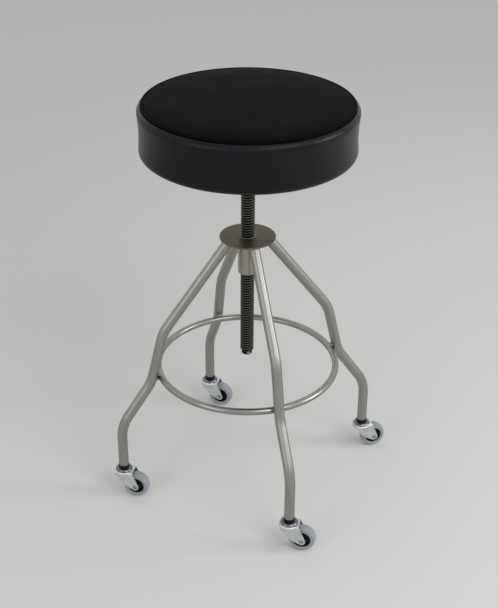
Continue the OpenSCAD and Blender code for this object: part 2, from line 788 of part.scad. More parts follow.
hub_plate();
nut_sleeve();
lift_nut();
leg(turns[0]);  // leg_front
leg(turns[1]);  // leg_right
leg(turns[2]);  // leg_back
leg(turns[3]);  // leg_left
foot_ring();
ring_welds();
hub_welds();
at_caster(0) caster_socket();  // caster_front_socket
at_caster(0) caster_stem();  // caster_front_stem
at_caster(0) caster_grip();  // caster_front_grip
at_caster(0) caster_race();  // caster_front_race
at_caster(0) caster_fork();  // caster_front_fork
at_caster(0) caster_balls();  // caster_front_balls
at_caster(0) caster_axle();  // caster_front_axle
at_caster(0) caster_core();  // caster_front_core
at_caster(0) caster_tyre();  // caster_front_tyre
at_caster(1) caster_socket();  // caster_right_socket
at_caster(1) caster_stem();  // caster_right_stem
at_caster(1) caster_grip();  // caster_right_grip
at_caster(1) caster_race();  // caster_right_race
at_caster(1) caster_fork();  // caster_right_fork
at_caster(1) caster_balls();  // caster_right_balls
at_caster(1) caster_axle();  // caster_right_axle
at_caster(1) caster_core();  // caster_right_core
at_caster(1) caster_tyre();  // caster_right_tyre
at_caster(2) caster_socket();  // caster_back_socket
at_caster(2) caster_stem();  // caster_back_stem
at_caster(2) caster_grip();  // caster_back_grip
at_caster(2) caster_race();  // caster_back_race
at_caster(2) caster_fork();  // caster_back_fork
at_caster(2) caster_balls();  // caster_back_balls
at_caster(2) caster_axle();  // caster_back_axle
at_caster(2) caster_core();  // caster_back_core
at_caster(2) caster_tyre();  // caster_back_tyre
at_caster(3) caster_socket();  // caster_left_socket
at_caster(3) caster_stem();  // caster_left_stem
at_caster(3) caster_grip();  // caster_left_grip
at_caster(3) caster_race();  // caster_left_race
at_caster(3) caster_fork();  // caster_left_fork
at_caster(3) caster_balls();  // caster_left_balls
at_caster(3) caster_axle();  // caster_left_axle
at_caster(3) caster_core();  // caster_left_core
at_caster(3) caster_tyre();  // caster_left_tyre
bumper_washer();
lift_screw();
stop_pin();
seat_flange();
flange_screws();
seat_board();
seat_foam();
seat_top_panel();
seat_boxing();
seat_welt();
dust_cover();
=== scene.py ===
import math

import bmesh
import bpy
from mathutils import Matrix, Vector, kdtree, noise


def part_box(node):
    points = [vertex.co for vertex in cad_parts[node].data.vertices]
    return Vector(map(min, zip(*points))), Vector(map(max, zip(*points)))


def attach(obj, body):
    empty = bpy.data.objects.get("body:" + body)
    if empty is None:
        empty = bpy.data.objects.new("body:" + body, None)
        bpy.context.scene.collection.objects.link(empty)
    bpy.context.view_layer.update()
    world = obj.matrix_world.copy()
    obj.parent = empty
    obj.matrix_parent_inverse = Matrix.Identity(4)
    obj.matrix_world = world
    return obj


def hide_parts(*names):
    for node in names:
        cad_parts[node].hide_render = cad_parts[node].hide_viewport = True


print("stool: loading the frame")
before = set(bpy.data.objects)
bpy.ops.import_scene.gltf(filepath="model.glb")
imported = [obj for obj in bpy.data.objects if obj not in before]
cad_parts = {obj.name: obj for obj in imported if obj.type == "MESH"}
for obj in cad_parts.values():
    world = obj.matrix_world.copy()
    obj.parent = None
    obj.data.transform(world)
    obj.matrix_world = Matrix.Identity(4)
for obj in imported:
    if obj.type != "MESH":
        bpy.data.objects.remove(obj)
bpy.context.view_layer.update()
scene = bpy.context.scene
mm = 0.001
sameSpot = 1e-6  # points nearer than this, in metres, are one point
onPlane = 1e-7  # and nearer than this to a cut, they lie on it

# where the four legs point, seen from above, and how each caster stands
legTurns = {"front": -90, "right": 0, "back": 90, "left": 180}
casterTurns = {"front": -27.8, "right": -0.8, "back": -34.7, "left": -31.8}


# materials

def srgb(hexColour):
    parts = [int(hexColour[i:i + 2], 16) / 255 for i in (1, 3, 5)]
    return tuple(p / 12.92 if p <= 0.04045 else ((p + 0.055) / 1.055) ** 2.4 for p in parts) + (1,)


def startMaterial(name):
    material = bpy.data.materials.new(name)
    material.use_nodes = True
    material.node_tree.nodes.clear()
    return material


def addNode(material, kind, inputs=None, **settings):
    tree = material.node_tree
    node = tree.nodes.new(kind)
    for setting, value in settings.items():
        setattr(node, setting, value)
    for socket, value in (inputs or {}).items():
        if isinstance(value, bpy.types.NodeSocket):
            tree.links.new(value, node.inputs[socket])
        else:
            node.inputs[socket].default_value = value
    return node


def finishMaterial(material, inputs):
    shader = addNode(material, "ShaderNodeBsdfPrincipled", inputs)
    addNode(material, "ShaderNodeOutputMaterial", {"Surface": shader.outputs[0]})
    return material


# expanded PVC upholstery vinyl, embossed with a fine leather grain, near black: the band keeps its soft
# sheen, and the panel and the welt get a darker, matt, brownish copy of it, which is painted shade
vinylLooks = {
    "embossedVinyl": {"colour": "#0B0D10", "worn": "#111419", "gloss": 0.18, "smooth": 0.26, "dull": 0.32},
    "panelVinylPaintedShade": {"colour": "#080808", "worn": "#0D0C0C", "gloss": 0.015, "smooth": 0.46, "dull": 0.54},
}
# sizes in mm; the real grain is about 0.8 wide, and 1.3 still shows from a metre away
embossing = {"grain": 1.3, "pore": 0.5, "crease": 0.09, "strength": 0.3}


def makeVinyl(name):
    look = vinylLooks[name]
    m = startMaterial(name)
    place = addNode(m, "ShaderNodeTexCoord").outputs["Object"]
    grain = addNode(m, "ShaderNodeTexVoronoi", {"Vector": place, "Scale": 1 / (embossing["grain"] * mm)},
                    feature="DISTANCE_TO_EDGE")
    creases = addNode(m, "ShaderNodeMapRange", {"Value": grain.outputs["Distance"], "From Max": 0.22})
    pores = addNode(m, "ShaderNodeTexNoise", {"Vector": place, "Scale": 1 / (embossing["pore"] * mm),
                                              "Detail": 2})
    height = addNode(m, "ShaderNodeMath", {0: creases.outputs[0], 1: pores.outputs[0]}, operation="ADD")
    bump = addNode(m, "ShaderNodeBump", {"Strength": embossing["strength"],
                                         "Distance": embossing["crease"] * mm, "Height": height.outputs[0]})
    patches = addNode(m, "ShaderNodeTexNoise", {"Vector": place, "Scale": 14, "Detail": 3})
    tone = addNode(m, "ShaderNodeMix", {0: patches.outputs[0], 6: srgb(look["colour"]),
                                        7: srgb(look["worn"])}, data_type="RGBA")
    sheen = addNode(m, "ShaderNodeMapRange", {"Value": patches.outputs[0], "From Min": 0.3, "From Max": 0.7,
                                              "To Min": look["smooth"], "To Max": look["dull"]})
    return finishMaterial(m, {"Base Color": tone.outputs[2], "Roughness": sheen.outputs[0],
                              "Specular IOR Level": look["gloss"], "IOR": 1.5,
                              "Normal": bump.outputs[0]})


# 304 stainless, belt polished along its length: light grey with fine lengthwise streaks, brighter on the rod
polishedLooks = {
    "satinStainlessTube": {"brightest": 0.34, "dullest": 0.42},
    "brightStainlessRod": {"brightest": 0.22, "dullest": 0.3},
}
beltMarks = {"light": "#A6A49F", "dark": "#8B8984", "width": 0.7, "length": 45, "depth": 0.05}  # mm


def makePolished(name):
    look = polishedLooks[name]
    m = startMaterial(name)
    along = addNode(m, "ShaderNodeAttribute", attribute_name="straightened").outputs["Vector"]
    across = 1 / (beltMarks["width"] * mm)
    drawn = addNode(m, "ShaderNodeMapping", {"Vector": along,
                                             "Scale": (across, across, 1 / (beltMarks["length"] * mm))})
    streaks = addNode(m, "ShaderNodeTexNoise", {"Vector": drawn.outputs[0], "Scale": 1, "Detail": 4,
                                                "Roughness": 0.6})
    place = addNode(m, "ShaderNodeTexCoord").outputs["Object"]
    smudges = addNode(m, "ShaderNodeTexNoise", {"Vector": place, "Scale": 9, "Detail": 1})
    both = addNode(m, "ShaderNodeMath", {0: streaks.outputs[0], 1: smudges.outputs[0]}, operation="ADD")
    polish = addNode(m, "ShaderNodeMapRange", {"Value": both.outputs[0], "From Min": 0.7, "From Max": 1.3,
                                               "To Min": look["brightest"], "To Max": look["dullest"]})
    tone = addNode(m, "ShaderNodeMapRange", {"Value": streaks.outputs[0], "From Min": 0.35,
                                             "From Max": 0.65})
    colour = addNode(m, "ShaderNodeMix", {0: tone.outputs[0], 6: srgb(beltMarks["dark"]),
                                          7: srgb(beltMarks["light"])}, data_type="RGBA")
    bump = addNode(m, "ShaderNodeBump", {"Strength": 0.12, "Distance": beltMarks["depth"] * mm,
                                         "Height": streaks.outputs[0]})
    return finishMaterial(m, {"Base Color": colour.outputs[2], "Metallic": 1,
                              "Roughness": polish.outputs[0], "Normal": bump.outputs[0]})


wavePeriod = 0.314  # a wave texture repeats every 0.314 / scale metres

# plate turned on a lathe and left to dull: olive grey, with faint rings round the screw, which are drawn
# 0.9 mm apart, coarser than the tool's own marks
plateLook = {"dark": "#625E51", "light": "#787463", "rings": 0.9, "depth": 0.05, "smooth": 0.42, "dull": 0.58}


def makeTurnedPlate():
    look = plateLook
    m = startMaterial("turnedSteelPlate")
    place = addNode(m, "ShaderNodeTexCoord").outputs["Object"]
    rings = addNode(m, "ShaderNodeTexWave", {"Vector": place, "Scale": wavePeriod / (look["rings"] * mm),
                                             "Distortion": 0.6, "Detail": 2},
                    wave_type="RINGS", rings_direction="Z")
    stains = addNode(m, "ShaderNodeTexNoise", {"Vector": place, "Scale": 38, "Detail": 4, "Roughness": 0.6})
    tone = addNode(m, "ShaderNodeMapRange", {"Value": stains.outputs[0], "From Min": 0.3, "From Max": 0.7})
    colour = addNode(m, "ShaderNodeMix", {0: tone.outputs[0], 6: srgb(look["dark"]),
                                          7: srgb(look["light"])}, data_type="RGBA")
    rough = addNode(m, "ShaderNodeMapRange", {"Value": stains.outputs[0], "To Min": look["smooth"],
                                              "To Max": look["dull"]})
    bump = addNode(m, "ShaderNodeBump", {"Strength": 0.15, "Distance": look["depth"] * mm,
                                         "Height": rings.outputs[0]})
    return finishMaterial(m, {"Base Color": colour.outputs[2], "Metallic": 1, "Roughness": rough.outputs[0],
                              "Normal": bump.outputs[0]})


# rolled steel screw thread: painted shade in the roots up to one radius, painted highlight on the crests past
# the other
threadLook = {"paintedShadeRoot": "#151413", "paintedHighlightCrest": "#66645E", "shadeEndRadius": 10.4, "highlightFromRadius": 12.65,
              "depth": 0.06, "bright": 0.22, "dull": 0.45}


def makePaintedShadeThread():
    look = threadLook
    m = startMaterial("paintedShadeThreadSteel")
    place = addNode(m, "ShaderNodeTexCoord").outputs["Object"]
    flat = addNode(m, "ShaderNodeMapping", {"Vector": place, "Scale": (1, 1, 0)})
    out = addNode(m, "ShaderNodeVectorMath", {0: flat.outputs[0]}, operation="LENGTH").outputs["Value"]
    specks = addNode(m, "ShaderNodeTexNoise", {"Vector": place, "Scale": 900, "Detail": 3})
    # painted shade in the roots, a painted highlight on the crests
    crestLitShare = addNode(m, "ShaderNodeMapRange", {"Value": out, "From Min": look["shadeEndRadius"] * mm,
                                            "From Max": look["highlightFromRadius"] * mm})
    worn = addNode(m, "ShaderNodeMath", {0: crestLitShare.outputs[0], 1: specks.outputs[0], 2: -0.25},
                   operation="MULTIPLY_ADD")
    colour = addNode(m, "ShaderNodeMix", {0: crestLitShare.outputs[0], 6: srgb(look["paintedShadeRoot"]),
                                          7: srgb(look["paintedHighlightCrest"])}, data_type="RGBA")
    rough = addNode(m, "ShaderNodeMapRange", {"Value": worn.outputs[0], "To Min": look["dull"],
                                              "To Max": look["bright"]})
    bump = addNode(m, "ShaderNodeBump", {"Strength": 0.2, "Distance": look["depth"] * mm,
                                         "Height": specks.outputs[0]})
    return finishMaterial(m, {"Base Color": colour.outputs[2], "Metallic": 1, "Roughness": rough.outputs[0],
                              "Normal": bump.outputs[0]})


# plain metal finishes: the tone drifts a little, and fine marks break the reflections
metalLooks = {
    "brightZinc": {"light": "#D8DDDA", "dark": "#C4C9C6", "patch": 7, "marks": 0.6, "smooth": 0.4,
                   "dull": 0.56, "bump": 0.12},  # bright zinc plate: pale grey, cloudy, half matt
    "raceChromePaintedDark": {"light": "#7C8082", "dark": "#686C6E", "patch": 9, "marks": 0.8, "smooth": 0.12,
                   "dull": 0.2, "bump": 0.03},  # chrome painted darker, a painted dark reflection: dark mirror, bright glints
    "machinedSteel": {"light": "#A19E96", "dark": "#928F87", "patch": 25, "marks": 0.5, "smooth": 0.24,
                      "dull": 0.31, "bump": 0.04},  # turned and wiped steel: mid grey
    "wipedSteel": {"light": "#8F8B7E", "dark": "#7F7B6E", "patch": 9, "marks": 0.5, "smooth": 0.4,
                   "dull": 0.5, "bump": 0.04},  # nut wiped clean by the screw: a shade paler than the plate
    "weldSteel": {"light": "#A9A6A0", "dark": "#8C8780", "patch": 4, "marks": 1.2, "smooth": 0.35,
                  "dull": 0.5, "bump": 0.3},  # brushed weld bead: straw and grey
    "galvanisedWire": {"light": "#B9BBB8", "dark": "#8F918E", "patch": 3, "marks": 0.4, "smooth": 0.35,
                       "dull": 0.5, "bump": 0.1},  # galvanised staple wire: spangled grey
}
markDepth = 0.08  # mm


def makeMetal(name):
    look = metalLooks[name]
    m = startMaterial(name)
    place = addNode(m, "ShaderNodeTexCoord").outputs["Object"]
    patches = addNode(m, "ShaderNodeTexNoise", {"Vector": place, "Scale": 1 / (look["patch"] * mm),
                                                "Detail": 3})
    marks = addNode(m, "ShaderNodeTexNoise", {"Vector": place, "Scale": 1 / (look["marks"] * mm),
                                              "Detail": 3})
    tone = addNode(m, "ShaderNodeMapRange", {"Value": patches.outputs[0], "From Min": 0.32,
                                             "From Max": 0.68})
    colour = addNode(m, "ShaderNodeMix", {0: tone.outputs[0], 6: srgb(look["dark"]),
                                          7: srgb(look["light"])}, data_type="RGBA")
    rough = addNode(m, "ShaderNodeMapRange", {"Value": marks.outputs[0], "From Min": 0.3, "From Max": 0.7,
                                              "To Min": look["smooth"], "To Max": look["dull"]})
    bump = addNode(m, "ShaderNodeBump", {"Strength": look["bump"], "Distance": markDepth * mm,
                                         "Height": marks.outputs[0]})
    return finishMaterial(m, {"Base Color": colour.outputs[2], "Metallic": 1, "Roughness": rough.outputs[0],
                              "Normal": bump.outputs[0]})


# moulded parts: the skin of the mould, with a little dust that dulls it in patches
mouldedLooks = {
    "greyRubber": {"light": "#A3A8B0", "dark": "#8F949C", "skin": 0.5, "rough": 0.55, "bump": 0.25,
                   "gloss": 0.5},  # non-marking tyre rubber: cool grey, even
    "blackNylon": {"light": "#121314", "dark": "#0B0C0C", "skin": 0.35, "rough": 0.5, "bump": 0.2,
                   "gloss": 0.2},  # glass-filled nylon: black, half matt
    "blackRubber": {"light": "#1B1B1C", "dark": "#121212", "skin": 0.6, "rough": 0.7, "bump": 0.3,
                    "gloss": 0.4},  # moulded bumper rubber: soft matt black
}
mouldSkin = {"dust": 6, "depth": 0.05, "spread": 0.08}  # mm, mm, and how far the roughness wanders


def makeMoulded(name):
    look = mouldedLooks[name]
    m = startMaterial(name)
    place = addNode(m, "ShaderNodeTexCoord").outputs["Object"]
    dust = addNode(m, "ShaderNodeTexNoise", {"Vector": place, "Scale": 1 / (mouldSkin["dust"] * mm),
                                             "Detail": 3})
    skin = addNode(m, "ShaderNodeTexNoise", {"Vector": place, "Scale": 1 / (look["skin"] * mm), "Detail": 2})
    colour = addNode(m, "ShaderNodeMix", {0: dust.outputs[0], 6: srgb(look["dark"]),
                                          7: srgb(look["light"])}, data_type="RGBA")
    rough = addNode(m, "ShaderNodeMapRange", {"Value": dust.outputs[0],
                                              "To Min": look["rough"] - mouldSkin["spread"],
                                              "To Max": look["rough"] + mouldSkin["spread"]})
    bump = addNode(m, "ShaderNodeBump", {"Strength": look["bump"], "Distance": mouldSkin["depth"] * mm,
                                         "Height": skin.outputs[0]})
    return finishMaterial(m, {"Base Color": colour.outputs[2], "Roughness": rough.outputs[0],
                              "Specular IOR Level": look["gloss"], "Normal": bump.outputs[0]})


# black cambric: thin matt cloth, its weave drawn 1.2 mm apart so that it shows
cambricLook = {"dark": "#121212", "light": "#1E1E1E", "thread": 1.2, "depth": 0.15, "rough": 0.88,
               "gloss": 0.2}


def makeCambric():
    look = cambricLook
    m = startMaterial("blackCambric")
    place = addNode(m, "ShaderNodeTexCoord").outputs["Object"]
    threads = {"Vector": place, "Scale": wavePeriod / (look["thread"] * mm), "Distortion": 0.4}
    wefts = addNode(m, "ShaderNodeTexWave", threads, bands_direction="X")
    warps = addNode(m, "ShaderNodeTexWave", threads, bands_direction="Y")
    weave = addNode(m, "ShaderNodeMath", {0: wefts.outputs[1], 1: warps.outputs[1]}, operation="MULTIPLY")
    fluff = addNode(m, "ShaderNodeTexNoise", {"Vector": place, "Scale": 60, "Detail": 4})
    colour = addNode(m, "ShaderNodeMix", {0: fluff.outputs[0], 6: srgb(look["dark"]),
                                          7: srgb(look["light"])}, data_type="RGBA")
    bump = addNode(m, "ShaderNodeBump", {"Strength": 0.5, "Distance": look["depth"] * mm,
                                         "Height": weave.outputs[0]})
    return finishMaterial(m, {"Base Color": colour.outputs[2], "Roughness": look["rough"],
                              "Specular IOR Level": look["gloss"], "Normal": bump.outputs[0]})


# birch plywood: pale straight grain on the face, plies 1.5 mm thick on the edge
plywoodLook = {"dark": "#A98658", "light": "#D2B282", "grain": (2.5, 60, 1.5), "depth": 0.1, "rough": 0.7}


def makePlywood():
    look = plywoodLook
    m = startMaterial("birchPlywood")
    place = addNode(m, "ShaderNodeTexCoord").outputs["Object"]
    drawn = addNode(m, "ShaderNodeMapping", {"Vector": place, "Scale": [1 / (g * mm) for g in look["grain"]]})
    grain = addNode(m, "ShaderNodeTexNoise", {"Vector": drawn.outputs[0], "Scale": 1, "Detail": 4})
    colour = addNode(m, "ShaderNodeMix", {0: grain.outputs[0], 6: srgb(look["dark"]),
                                          7: srgb(look["light"])}, data_type="RGBA")
    bump = addNode(m, "ShaderNodeBump", {"Strength": 0.3, "Distance": look["depth"] * mm,
                                         "Height": grain.outputs[0]})
    return finishMaterial(m, {"Base Color": colour.outputs[2], "Roughness": look["rough"],
                              "Normal": bump.outputs[0]})


vinyls = {name: makeVinyl(name) for name in vinylLooks}
polished = {name: makePolished(name) for name in polishedLooks}
turnedPlate = makeTurnedPlate()
paintedShadeThread = makePaintedShadeThread()
cambric = makeCambric()
plywood = makePlywood()
metals = {name: makeMetal(name) for name in metalLooks}
moulded = {name: makeMoulded(name) for name in mouldedLooks}
print("stool: materials ready")


# making and placing pieces

def addObject(name, form, material):
    mesh = bpy.data.meshes.new(name)
    form.to_mesh(mesh)
    form.free()
    mesh.materials.append(material)
    piece = bpy.data.objects.new(name, mesh)
    scene.collection.objects.link(piece)
    return piece


def addPiece(name, form, material, body, stands=(), place=None):
    if place:
        bmesh.ops.transform(form, matrix=place, verts=form.verts)
    for face in form.faces:
        face.smooth = True
    piece = addObject(name, form, material)
    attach(piece, body)
    if stands:
        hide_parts(*stands)
    return piece


def weighNormals(piece):  # flat faces stay flat beside rounded edges
    modifier = piece.modifiers.new("weightedNormals", "WEIGHTED_NORMAL")
    modifier.mode = "FACE_AREA_WITH_ANGLE"
    modifier.weight = 80


def roundEdges(form, edges, width, segments=2):
    bmesh.ops.bevel(form, geom=edges, offset=width * mm, offset_type="OFFSET", segments=segments,
                    profile=0.5, affect="EDGES", material=-1, clamp_overlap=True)


def sharpEdges(form, degrees=30):
    return [e for e in form.edges if len(e.link_faces) == 2 and e.calc_face_angle(0) > math.radians(degrees)]


def latheForm(profile, steps, rounding=0, ring=True):  # profile in mm as (radius, height), spun round Z
    form = bmesh.new()
    points = [form.verts.new((r * mm, 0, z * mm)) for r, z in profile]
    edges = [form.edges.new(pair) for pair in zip(points, points[1:])]
    if ring:
        edges.append(form.edges.new((points[-1], points[0])))
    bmesh.ops.spin(form, geom=points + edges, cent=(0, 0, 0), axis=(0, 0, 1), angle=2 * math.pi, steps=steps,
                   use_merge=True)
    bmesh.ops.remove_doubles(form, verts=form.verts, dist=sameSpot)
    bmesh.ops.recalc_face_normals(form, faces=form.faces)
    if rounding:
        roundEdges(form, sharpEdges(form), rounding)
    return form


def everythingIn(form):
    return form.verts[:] + form.edges[:] + form.faces[:]


def cutLevel(form, height, up=1, cutOff=True):  # cuts across at a height, and can drop what is past it
    bmesh.ops.bisect_plane(form, geom=everythingIn(form), dist=onPlane, plane_co=(0, 0, height * mm),
                           plane_no=(0, 0, up), clear_outer=cutOff)


def closeHoles(form):
    bmesh.ops.holes_fill(form, edges=[e for e in form.edges if e.is_boundary], sides=0)
    bmesh.ops.recalc_face_normals(form, faces=form.faces)


def dressNode(node, material):  # a CAD solid whose shape is right as it is
    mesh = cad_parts[node].data
    mesh.materials.clear()
    mesh.materials.append(material)


# bent tubes, which keep the place of each point on the straight tube for the polishing marks

def startTube(form, radius, sides):
    space = form.verts.layers.float_vector.new("straightened")
    start = bmesh.ops.create_circle(form, cap_ends=False, radius=radius * mm, segments=sides)["verts"]
    for v in start:
        v[space] = v.co
    return start, list(form.edges), space


def growRing(form, edges, space, added):
    made = bmesh.ops.extrude_edge_only(form, edges=edges)["geom"]
    points = {g for g in made if isinstance(g, bmesh.types.BMVert)}
    for v in points:
        v[space].z += added
    ringEdges = [g for g in made if isinstance(g, bmesh.types.BMEdge) and set(g.verts) <= points]
    return list(points), ringEdges


# the line is the tube's middle as (out, up), which runs on past the hub plate before it is cut
legTube = {"radius": 9.525, "wall": 1.65, "bend": 80, "sides": 48, "bendStep": 4,
           "line": [(248.4, 68), (248.4, 156.2), (187.2, 243.7), (162.7, 345.7), (30.4, 520.8)],
           "runOn": 19.05, "topCut": 517.55, "edge": 0.6, "boreDepth": 2}


def growLeg(form, edges, space, line):
    t = legTube
    bend = t["bend"] * mm
    heads = [(b - a).normalized() for a, b in zip(line, line[1:])]
    turns = [math.atan2(a.y * b.x - a.x * b.y, a.dot(b)) for a, b in zip(heads, heads[1:])]
    cuts = [0] + [bend * math.tan(abs(a) / 2) for a in turns] + [-t["runOn"] * mm]
    for i, head in enumerate(heads):
        length = (line[i + 1] - line[i]).length - cuts[i] - cuts[i + 1]
        points, edges = growRing(form, edges, space, length)
        bmesh.ops.translate(form, verts=points, vec=(head.x * length, 0, head.y * length))
        if i == len(turns):
            break
        sideways = Vector((head.y, -head.x)) * math.copysign(1, turns[i])
        at = line[i + 1] - head * cuts[i + 1] + sideways * bend
        steps = math.ceil(abs(math.degrees(turns[i])) / t["bendStep"])
        for step in range(steps):
            points, edges = growRing(form, edges, space, bend * abs(turns[i]) / steps)
            bmesh.ops.rotate(form, verts=points, cent=(at.x, 0, at.y),
                             matrix=Matrix.Rotation(turns[i] / steps, 3, "Y"))


def makeLeg(side):
    t = legTube
    form = bmesh.new()
    start, foot, space = startTube(form, t["radius"], t["sides"])
    line = [Vector((x, z)) * mm for x, z in t["line"]]
    bmesh.ops.translate(form, verts=start, vec=(line[0].x, 0, line[0].y))
    growLeg(form, foot, space, line)
    # a ring of points just inside each end keeps the shading straight along the tube
    cutLevel(form, t["line"][0][1] + t["edge"], cutOff=False)
    cutLevel(form, t["topCut"] - t["edge"], cutOff=False)
    cutLevel(form, t["topCut"])  # flat under the hub plate
    inward = 1 - t["wall"] / t["radius"]
    points, inner = growRing(form, foot, space, 0)
    bmesh.ops.scale(form, verts=points, vec=(inward, inward, 1),
                    space=Matrix.Translation((-line[0].x, 0, -line[0].y)))
    points = growRing(form, inner, space, t["boreDepth"] * mm)[0]
    bmesh.ops.translate(form, verts=points, vec=(0, 0, t["boreDepth"] * mm))
    closeHoles(form)
    return addPiece("legTube_" + side, form, polished["satinStainlessTube"], "base", ["leg_" + side],
                    Matrix.Rotation(math.radians(legTurns[side]), 4, "Z"))


for side in legTurns:
    weighNormals(makeLeg(side))

ringRod = {"radius": 6.35, "height": 252.6, "sides": 32, "steps": 180}


def makeFootRing():
    t = ringRod
    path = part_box("foot_ring")[1].x - t["radius"] * mm
    form = bmesh.new()
    start, edges, space = startTube(form, t["radius"], t["sides"])
    bmesh.ops.rotate(form, verts=start, cent=(0, 0, 0), matrix=Matrix.Rotation(math.pi / 2, 3, "X"))
    bmesh.ops.translate(form, verts=start, vec=(path, 0, t["height"] * mm))
    step = 2 * math.pi / t["steps"]
    for k in range(t["steps"]):
        points, edges = growRing(form, edges, space, step * path)
        bmesh.ops.rotate(form, verts=points, cent=(0, 0, 0), matrix=Matrix.Rotation(step, 3, "Z"))
    bmesh.ops.remove_doubles(form, verts=form.verts, dist=sameSpot)
    bmesh.ops.recalc_face_normals(form, faces=form.faces)
    addPiece("footRing", form, polished["brightStainlessRod"], "base", ["foot_ring"],
             Matrix.Rotation(math.pi / 2, 4, "Z"))


makeFootRing()
print("stool: legs and foot ring ready")

# hub: the sleeve is welded into the plate and turned flush with it, so the plate's skin runs over its end

hubPlate = {"bore": 17.55, "radius": 50.8, "under": 517.6, "top": 520.8, "skin": 0.4, "rounding": 0.45,
            "steps": 128}
nutSleeve = {"radius": 17.5, "bore": 15.15, "foot": 447.8, "top": 520.35, "chamfer": 1, "rounding": 0.35,
             "steps": 96}


def makeHubPlate():
    t = hubPlate
    skinUnder = t["top"] - t["skin"]
    form = latheForm([(t["bore"], t["under"]), (t["radius"], t["under"]), (t["radius"], t["top"]),
                      (nutSleeve["bore"], t["top"]), (nutSleeve["bore"], skinUnder), (t["bore"], skinUnder)],
                     t["steps"])
    outer = (t["radius"] - t["rounding"]) * mm
    rim = [e for e in sharpEdges(form) if min(v.co.xy.length for v in e.verts) > outer]
    roundEdges(form, rim, t["rounding"], 3)
    return addPiece("hubPlate", form, turnedPlate, "base", ["hub_plate"])


def makeNutSleeve():
    t = nutSleeve
    form = latheForm([(t["bore"], t["foot"]), (t["radius"] - t["chamfer"], t["foot"]),
                      (t["radius"], t["foot"] + t["chamfer"]), (t["radius"], t["top"]),
                      (t["bore"], t["top"])], t["steps"], t["rounding"])
    return addPiece("nutSleeve", form, metals["machinedSteel"], "base", ["nut_sleeve"])


weighNormals(makeHubPlate())
weighNormals(makeNutSleeve())
dressNode("lift_nut", metals["wipedSteel"])
dressNode("ring_welds", metals["weldSteel"])
dressNode("hub_welds", metals["weldSteel"])

# lift screw

liftScrew = {"foot": 273.6, "threadLow": 280, "threadHigh": 663, "top": 684.2, "crest": 12.7, "root": 9.9,
             "pitch": 5.08, "flank": 0.724, "crestWidth": 1.876, "edge": 0.38, "steps": 44,
             "chamferSlope": 0.9, "seamGap": 2e-6, "footChamfer": 0.8, "topChamfer": 0.2, "shankSteps": 64}


def threadOutline():  # one pitch as (radius, height), each corner eased in shares of the edge's width
    t = liftScrew
    e = t["edge"]
    low = t["pitch"] - 2 * t["flank"] - t["crestWidth"]  # where the root's flat ends and the flank starts
    rise = low + t["flank"]
    fall = rise + t["crestWidth"]
    return [(t["root"], 0), (t["root"], low - e * 0.5), (t["root"] + e * 0.6, low + e * 0.3),
            (t["crest"] - e, low + t["flank"] * 0.93), (t["crest"] - e * 0.25, rise + e * 0.35),
            (t["crest"], rise + e * 1.1), (t["crest"], fall - e * 1.1),
            (t["crest"] - e * 0.25, fall - e * 0.35), (t["crest"] - e, t["pitch"] - t["flank"] * 0.93),
            (t["root"] + e * 0.6, t["pitch"] - e * 0.3), (t["root"], t["pitch"])]


def makeLiftScrew():
    t = liftScrew
    form = bmesh.new()
    base = t["threadLow"] - t["pitch"]
    points = [form.verts.new((r * mm, 0, (base + z) * mm)) for r, z in threadOutline()]
    edges = [form.edges.new(pair) for pair in zip(points, points[1:])]
    bmesh.ops.spin(form, geom=points + edges, cent=(0, 0, 0), axis=(0, 0, 1), angle=2 * math.pi,
                   steps=t["steps"], dvec=(0, 0, t["pitch"] / t["steps"] * mm), use_merge=False)
    oneTurn = everythingIn(form)
    turns = math.ceil((t["threadHigh"] - t["threadLow"]) / t["pitch"]) + 2
    for k in range(1, turns):
        copied = bmesh.ops.duplicate(form, geom=oneTurn)["geom"]
        bmesh.ops.translate(form, verts=[g for g in copied if isinstance(g, bmesh.types.BMVert)],
                            vec=(0, 0, t["pitch"] * k * mm))
    bmesh.ops.remove_doubles(form, verts=form.verts, dist=t["seamGap"])
    for v in form.verts:  # both ends of the thread are chamfered
        r = v.co.xy.length
        room = min(v.co.z - t["threadLow"] * mm, t["threadHigh"] * mm - v.co.z)
        limit = t["root"] * mm + max(0, room) * t["chamferSlope"]
        if r > limit:
            v.co.xy *= limit / r
    cutLevel(form, t["threadLow"], -1)
    cutLevel(form, t["threadHigh"])
    closeHoles(form)
    for low, high, chamfer in ((t["foot"], t["threadLow"], t["footChamfer"]),
                               (t["threadHigh"], t["top"], t["topChamfer"])):
        shank = latheForm([(0, low), (t["root"] - chamfer, low), (t["root"], low + chamfer),
                           (t["root"], high - t["topChamfer"]), (t["root"], high), (0, high)],
                          t["shankSteps"], ring=False)
        part = bpy.data.meshes.new("shank")
        shank.to_mesh(part)
        shank.free()
        form.from_mesh(part)
        bpy.data.meshes.remove(part)
    return addPiece("liftScrew", form, paintedShadeThread, "seat", ["lift_screw"])


weighNormals(makeLiftScrew())
dressNode("stop_pin", metals["brightZinc"])
dressNode("seat_flange", metals["machinedSteel"])
dressNode("flange_screws", metals["brightZinc"])
dressNode("bumper_washer", moulded["blackRubber"])
print("stool: hub and lift screw ready")

# casters: how far out each stands, how far its wheel trails behind its stem, and the wheel's radius

caster = {"spread": 248.4, "trail": 24.8, "wheel": 25.4}


def atAxle(side):
    leg = math.radians(legTurns[side])
    spread = caster["spread"] * mm
    return (Matrix.Translation((spread * math.cos(leg), spread * math.sin(leg), 0))
            @ Matrix.Rotation(math.radians(casterTurns[side]), 4, "Z")
            @ Matrix.Translation((caster["trail"] * mm, 0, caster["wheel"] * mm))
            @ Matrix.Rotation(math.pi / 2, 4, "X"))


def mirrored(half):  # an outline and its reflection across the middle of the wheel
    return half + [(r, -z) for r, z in reversed(half)]


